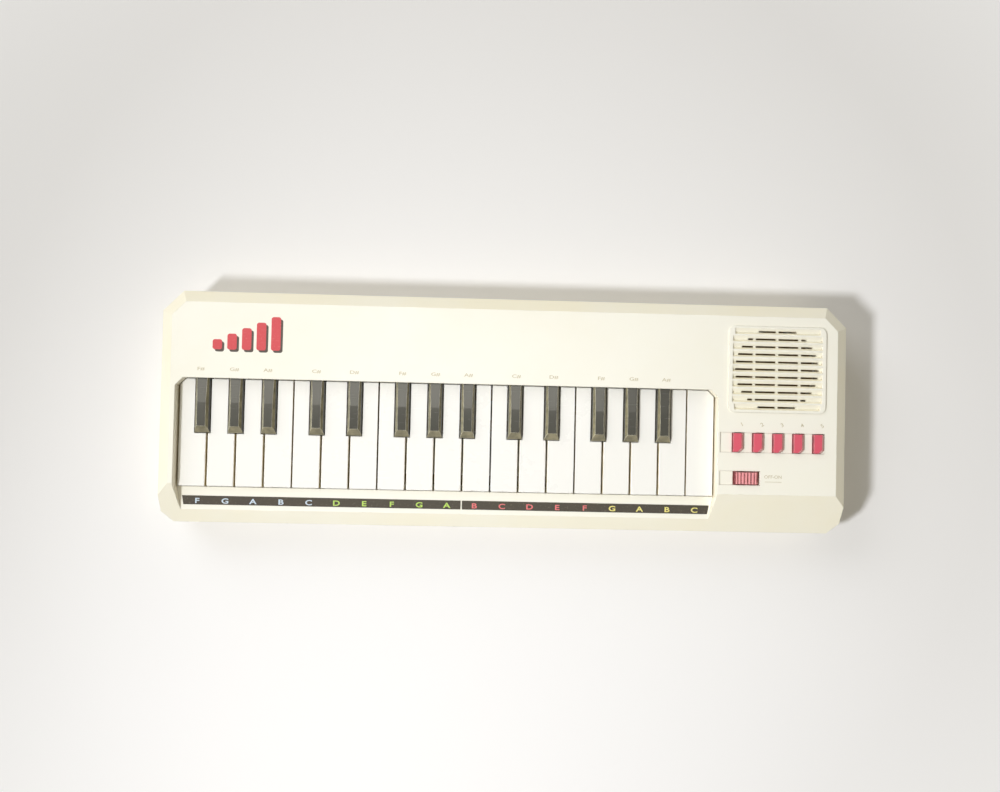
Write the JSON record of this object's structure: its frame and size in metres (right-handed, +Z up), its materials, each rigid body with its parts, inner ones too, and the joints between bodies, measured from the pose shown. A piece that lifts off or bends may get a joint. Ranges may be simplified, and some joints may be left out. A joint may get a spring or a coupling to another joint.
{
  "type": "toy keyboard",
  "caption": "Flat battery toy keyboard with hinged piano keys in a bevelled cream case, a louvred speaker grille, red push buttons and a slide switch.",
  "frame": {"origin": "on the table under the middle of the case", "axes": "+X to the high notes along the keys, +Y from the player to the rear, +Z up"},
  "size_m": [0.414, 0.139, 0.0422],
  "materials": {
    "case_plastic": "satin cream moulding",
    "white_key_plastic": "polished white moulding",
    "black_key_plastic": "polished black moulding",
    "red_plastic": "polished red moulding",
    "label": "printed film",
    "steel": "zinc plated",
    "magnet": "ferrite",
    "paper": "black paper cone",
    "board": "phenolic board",
    "contact_rubber": "silicone",
    "foot_rubber": "black rubber",
    "felt": "red felt",
    "switch_metal": "stamped can",
    "cable": "vinyl insulation"
  },
  "bodies": {
    "case": {"top_case": "case_plastic", "bottom_case": "case_plastic", "note_label": "label", "key_pivot_rod": "steel", "key_board": "board", "key_contact_rubber": "contact_rubber", "key_stop_felt": "felt", "control_board": "board", "button_rubber": "contact_rubber", "switch_body": "switch_metal", "speaker_basket": "steel", "speaker_magnet": "magnet", "speaker_cone": "paper", "speaker_screws": "steel", "board_screws": "steel", "case_screws": "steel", "feet": "foot_rubber", "battery_contacts": "steel", "ribbon_cable": "cable", "speaker_leads": "cable", "battery_leads": "cable"},
    "white_key_01": {"white_key_01": "white_key_plastic"},
    "white_key_02": {"white_key_02": "white_key_plastic"},
    "white_key_03": {"white_key_03": "white_key_plastic"},
    "white_key_04": {"white_key_04": "white_key_plastic"},
    "white_key_05": {"white_key_05": "white_key_plastic"},
    "white_key_06": {"white_key_06": "white_key_plastic"},
    "white_key_07": {"white_key_07": "white_key_plastic"},
    "white_key_08": {"white_key_08": "white_key_plastic"},
    "white_key_09": {"white_key_09": "white_key_plastic"},
    "white_key_10": {"white_key_10": "white_key_plastic"},
    "white_key_11": {"white_key_11": "white_key_plastic"},
    "white_key_12": {"white_key_12": "white_key_plastic"},
    "white_key_13": {"white_key_13": "white_key_plastic"},
    "white_key_14": {"white_key_14": "white_key_plastic"},
    "white_key_15": {"white_key_15": "white_key_plastic"},
    "white_key_16": {"white_key_16": "white_key_plastic"},
    "white_key_17": {"white_key_17": "white_key_plastic"},
    "white_key_18": {"white_key_18": "white_key_plastic"},
    "white_key_19": {"white_key_19": "white_key_plastic"},
    "black_key_01": {"black_key_01": "black_key_plastic"},
    "black_key_02": {"black_key_02": "black_key_plastic"},
    "black_key_03": {"black_key_03": "black_key_plastic"},
    "black_key_04": {"black_key_04": "black_key_plastic"},
    "black_key_05": {"black_key_05": "black_key_plastic"},
    "black_key_06": {"black_key_06": "black_key_plastic"},
    "black_key_07": {"black_key_07": "black_key_plastic"},
    "black_key_08": {"black_key_08": "black_key_plastic"},
    "black_key_09": {"black_key_09": "black_key_plastic"},
    "black_key_10": {"black_key_10": "black_key_plastic"},
    "black_key_11": {"black_key_11": "black_key_plastic"},
    "black_key_12": {"black_key_12": "black_key_plastic"},
    "black_key_13": {"black_key_13": "black_key_plastic"},
    "button_1": {"button_1": "red_plastic"},
    "button_2": {"button_2": "red_plastic"},
    "button_3": {"button_3": "red_plastic"},
    "button_4": {"button_4": "red_plastic"},
    "button_5": {"button_5": "red_plastic"},
    "switch_knob": {"switch_knob": "red_plastic"},
    "battery_door": {"battery_door": "case_plastic"}
  },
  "joints": [
    {"name": "button_1_push", "type": "slide", "parent": "case", "child": "button_1", "axis": [0, 0, -1], "range_m": [0, 0.001], "stiffness_N_per_m": 300, "springref_m": -0.001, "deforming": ["button_rubber"]},
    {"name": "button_2_push", "type": "slide", "parent": "case", "child": "button_2", "axis": [0, 0, -1], "range_m": [0, 0.001], "stiffness_N_per_m": 300, "springref_m": -0.001, "deforming": ["button_rubber"]},
    {"name": "button_3_push", "type": "slide", "parent": "case", "child": "button_3", "axis": [0, 0, -1], "range_m": [0, 0.001], "stiffness_N_per_m": 300, "springref_m": -0.001, "deforming": ["button_rubber"]},
    {"name": "button_4_push", "type": "slide", "parent": "case", "child": "button_4", "axis": [0, 0, -1], "range_m": [0, 0.001], "stiffness_N_per_m": 300, "springref_m": -0.001, "deforming": ["button_rubber"]},
    {"name": "button_5_push", "type": "slide", "parent": "case", "child": "button_5", "axis": [0, 0, -1], "range_m": [0, 0.001], "stiffness_N_per_m": 300, "springref_m": -0.001, "deforming": ["button_rubber"]},
    {"name": "switch_slide", "type": "slide", "parent": "case", "child": "switch_knob", "axis": [1, 0, 0], "range_m": [0, 0.002]},
    {"name": "battery_door_slide", "type": "slide", "parent": "case", "child": "battery_door", "axis": [0, 1, 0], "range_m": [0, 0.03]},
    {"name": "white_key_01_hinge", "type": "hinge", "parent": "case", "child": "white_key_01", "pos_m": [-0.18828, 0.0431, 0.029], "axis": [1, 0, 0], "range_deg": [0, 2.54], "stiffness_Nm_per_rad": 0.4, "springref_deg": -3.44, "deforming": ["key_contact_rubber"]},
    {"name": "white_key_02_hinge", "type": "hinge", "parent": "case", "child": "white_key_02", "pos_m": [-0.17124, 0.0431, 0.029], "axis": [1, 0, 0], "range_deg": [0, 2.54], "stiffness_Nm_per_rad": 0.4, "springref_deg": -3.44, "deforming": ["key_contact_rubber"]},
    {"name": "white_key_03_hinge", "type": "hinge", "parent": "case", "child": "white_key_03", "pos_m": [-0.1542, 0.0431, 0.029], "axis": [1, 0, 0], "range_deg": [0, 2.54], "stiffness_Nm_per_rad": 0.4, "springref_deg": -3.44, "deforming": ["key_contact_rubber"]},
    {"name": "white_key_04_hinge", "type": "hinge", "parent": "case", "child": "white_key_04", "pos_m": [-0.13716, 0.0431, 0.029], "axis": [1, 0, 0], "range_deg": [0, 2.54], "stiffness_Nm_per_rad": 0.4, "springref_deg": -3.44, "deforming": ["key_contact_rubber"]},
    {"name": "white_key_05_hinge", "type": "hinge", "parent": "case", "child": "white_key_05", "pos_m": [-0.12012, 0.0431, 0.029], "axis": [1, 0, 0], "range_deg": [0, 2.54], "stiffness_Nm_per_rad": 0.4, "springref_deg": -3.44, "deforming": ["key_contact_rubber"]},
    {"name": "white_key_06_hinge", "type": "hinge", "parent": "case", "child": "white_key_06", "pos_m": [-0.10308, 0.0431, 0.029], "axis": [1, 0, 0], "range_deg": [0, 2.54], "stiffness_Nm_per_rad": 0.4, "springref_deg": -3.44, "deforming": ["key_contact_rubber"]},
    {"name": "white_key_07_hinge", "type": "hinge", "parent": "case", "child": "white_key_07", "pos_m": [-0.08604, 0.0431, 0.029], "axis": [1, 0, 0], "range_deg": [0, 2.54], "stiffness_Nm_per_rad": 0.4, "springref_deg": -3.44, "deforming": ["key_contact_rubber"]},
    {"name": "white_key_08_hinge", "type": "hinge", "parent": "case", "child": "white_key_08", "pos_m": [-0.069, 0.0431, 0.029], "axis": [1, 0, 0], "range_deg": [0, 2.54], "stiffness_Nm_per_rad": 0.4, "springref_deg": -3.44, "deforming": ["key_contact_rubber"]},
    {"name": "white_key_09_hinge", "type": "hinge", "parent": "case", "child": "white_key_09", "pos_m": [-0.05196, 0.0431, 0.029], "axis": [1, 0, 0], "range_deg": [0, 2.54], "stiffness_Nm_per_rad": 0.4, "springref_deg": -3.44, "deforming": ["key_contact_rubber"]},
    {"name": "white_key_10_hinge", "type": "hinge", "parent": "case", "child": "white_key_10", "pos_m": [-0.03492, 0.0431, 0.029], "axis": [1, 0, 0], "range_deg": [0, 2.54], "stiffness_Nm_per_rad": 0.4, "springref_deg": -3.44, "deforming": ["key_contact_rubber"]},
    {"name": "white_key_11_hinge", "type": "hinge", "parent": "case", "child": "white_key_11", "pos_m": [-0.01788, 0.0431, 0.029], "axis": [1, 0, 0], "range_deg": [0, 2.54], "stiffness_Nm_per_rad": 0.4, "springref_deg": -3.44, "deforming": ["key_contact_rubber"]},
    {"name": "white_key_12_hinge", "type": "hinge", "parent": "case", "child": "white_key_12", "pos_m": [-0.00084, 0.0431, 0.029], "axis": [1, 0, 0], "range_deg": [0, 2.54], "stiffness_Nm_per_rad": 0.4, "springref_deg": -3.44, "deforming": ["key_contact_rubber"]},
    {"name": "white_key_13_hinge", "type": "hinge", "parent": "case", "child": "white_key_13", "pos_m": [0.0162, 0.0431, 0.029], "axis": [1, 0, 0], "range_deg": [0, 2.54], "stiffness_Nm_per_rad": 0.4, "springref_deg": -3.44, "deforming": ["key_contact_rubber"]},
    {"name": "white_key_14_hinge", "type": "hinge", "parent": "case", "child": "white_key_14", "pos_m": [0.03324, 0.0431, 0.029], "axis": [1, 0, 0], "range_deg": [0, 2.54], "stiffness_Nm_per_rad": 0.4, "springref_deg": -3.44, "deforming": ["key_contact_rubber"]},
    {"name": "white_key_15_hinge", "type": "hinge", "parent": "case", "child": "white_key_15", "pos_m": [0.05028, 0.0431, 0.029], "axis": [1, 0, 0], "range_deg": [0, 2.54], "stiffness_Nm_per_rad": 0.4, "springref_deg": -3.44, "deforming": ["key_contact_rubber"]},
    {"name": "white_key_16_hinge", "type": "hinge", "parent": "case", "child": "white_key_16", "pos_m": [0.06732, 0.0431, 0.029], "axis": [1, 0, 0], "range_deg": [0, 2.54], "stiffness_Nm_per_rad": 0.4, "springref_deg": -3.44, "deforming": ["key_contact_rubber"]},
    {"name": "white_key_17_hinge", "type": "hinge", "parent": "case", "child": "white_key_17", "pos_m": [0.08436, 0.0431, 0.029], "axis": [1, 0, 0], "range_deg": [0, 2.54], "stiffness_Nm_per_rad": 0.4, "springref_deg": -3.44, "deforming": ["key_contact_rubber"]},
    {"name": "white_key_18_hinge", "type": "hinge", "parent": "case", "child": "white_key_18", "pos_m": [0.1014, 0.0431, 0.029], "axis": [1, 0, 0], "range_deg": [0, 2.54], "stiffness_Nm_per_rad": 0.4, "springref_deg": -3.44, "deforming": ["key_contact_rubber"]},
    {"name": "white_key_19_hinge", "type": "hinge", "parent": "case", "child": "white_key_19", "pos_m": [0.11844, 0.0431, 0.029], "axis": [1, 0, 0], "range_deg": [0, 2.54], "stiffness_Nm_per_rad": 0.4, "springref_deg": -3.44, "deforming": ["key_contact_rubber"]},
    {"name": "black_key_01_hinge", "type": "hinge", "parent": "case", "child": "black_key_01", "pos_m": [-0.18246, 0.0431, 0.029], "axis": [1, 0, 0], "range_deg": [0, 2.54], "stiffness_Nm_per_rad": 0.4, "springref_deg": -3.44, "deforming": ["key_contact_rubber"]},
    {"name": "black_key_02_hinge", "type": "hinge", "parent": "case", "child": "black_key_02", "pos_m": [-0.16272, 0.0431, 0.029], "axis": [1, 0, 0], "range_deg": [0, 2.54], "stiffness_Nm_per_rad": 0.4, "springref_deg": -3.44, "deforming": ["key_contact_rubber"]},
    {"name": "black_key_03_hinge", "type": "hinge", "parent": "case", "child": "black_key_03", "pos_m": [-0.14298, 0.0431, 0.029], "axis": [1, 0, 0], "range_deg": [0, 2.54], "stiffness_Nm_per_rad": 0.4, "springref_deg": -3.44, "deforming": ["key_contact_rubber"]},
    {"name": "black_key_04_hinge", "type": "hinge", "parent": "case", "child": "black_key_04", "pos_m": [-0.1143, 0.0431, 0.029], "axis": [1, 0, 0], "range_deg": [0, 2.54], "stiffness_Nm_per_rad": 0.4, "springref_deg": -3.44, "deforming": ["key_contact_rubber"]},
    {"name": "black_key_05_hinge", "type": "hinge", "parent": "case", "child": "black_key_05", "pos_m": [-0.09186, 0.0431, 0.029], "axis": [1, 0, 0], "range_deg": [0, 2.54], "stiffness_Nm_per_rad": 0.4, "springref_deg": -3.44, "deforming": ["key_contact_rubber"]},
    {"name": "black_key_06_hinge", "type": "hinge", "parent": "case", "child": "black_key_06", "pos_m": [-0.06318, 0.0431, 0.029], "axis": [1, 0, 0], "range_deg": [0, 2.54], "stiffness_Nm_per_rad": 0.4, "springref_deg": -3.44, "deforming": ["key_contact_rubber"]},
    {"name": "black_key_07_hinge", "type": "hinge", "parent": "case", "child": "black_key_07", "pos_m": [-0.04344, 0.0431, 0.029], "axis": [1, 0, 0], "range_deg": [0, 2.54], "stiffness_Nm_per_rad": 0.4, "springref_deg": -3.44, "deforming": ["key_contact_rubber"]},
    {"name": "black_key_08_hinge", "type": "hinge", "parent": "case", "child": "black_key_08", "pos_m": [-0.0237, 0.0431, 0.029], "axis": [1, 0, 0], "range_deg": [0, 2.54], "stiffness_Nm_per_rad": 0.4, "springref_deg": -3.44, "deforming": ["key_contact_rubber"]},
    {"name": "black_key_09_hinge", "type": "hinge", "parent": "case", "child": "black_key_09", "pos_m": [0.00498, 0.0431, 0.029], "axis": [1, 0, 0], "range_deg": [0, 2.54], "stiffness_Nm_per_rad": 0.4, "springref_deg": -3.44, "deforming": ["key_contact_rubber"]},
    {"name": "black_key_10_hinge", "type": "hinge", "parent": "case", "child": "black_key_10", "pos_m": [0.02742, 0.0431, 0.029], "axis": [1, 0, 0], "range_deg": [0, 2.54], "stiffness_Nm_per_rad": 0.4, "springref_deg": -3.44, "deforming": ["key_contact_rubber"]},
    {"name": "black_key_11_hinge", "type": "hinge", "parent": "case", "child": "black_key_11", "pos_m": [0.0561, 0.0431, 0.029], "axis": [1, 0, 0], "range_deg": [0, 2.54], "stiffness_Nm_per_rad": 0.4, "springref_deg": -3.44, "deforming": ["key_contact_rubber"]},
    {"name": "black_key_12_hinge", "type": "hinge", "parent": "case", "child": "black_key_12", "pos_m": [0.07584, 0.0431, 0.029], "axis": [1, 0, 0], "range_deg": [0, 2.54], "stiffness_Nm_per_rad": 0.4, "springref_deg": -3.44, "deforming": ["key_contact_rubber"]},
    {"name": "black_key_13_hinge", "type": "hinge", "parent": "case", "child": "black_key_13", "pos_m": [0.09558, 0.0431, 0.029], "axis": [1, 0, 0], "range_deg": [0, 2.54], "stiffness_Nm_per_rad": 0.4, "springref_deg": -3.44, "deforming": ["key_contact_rubber"]}
  ]
}
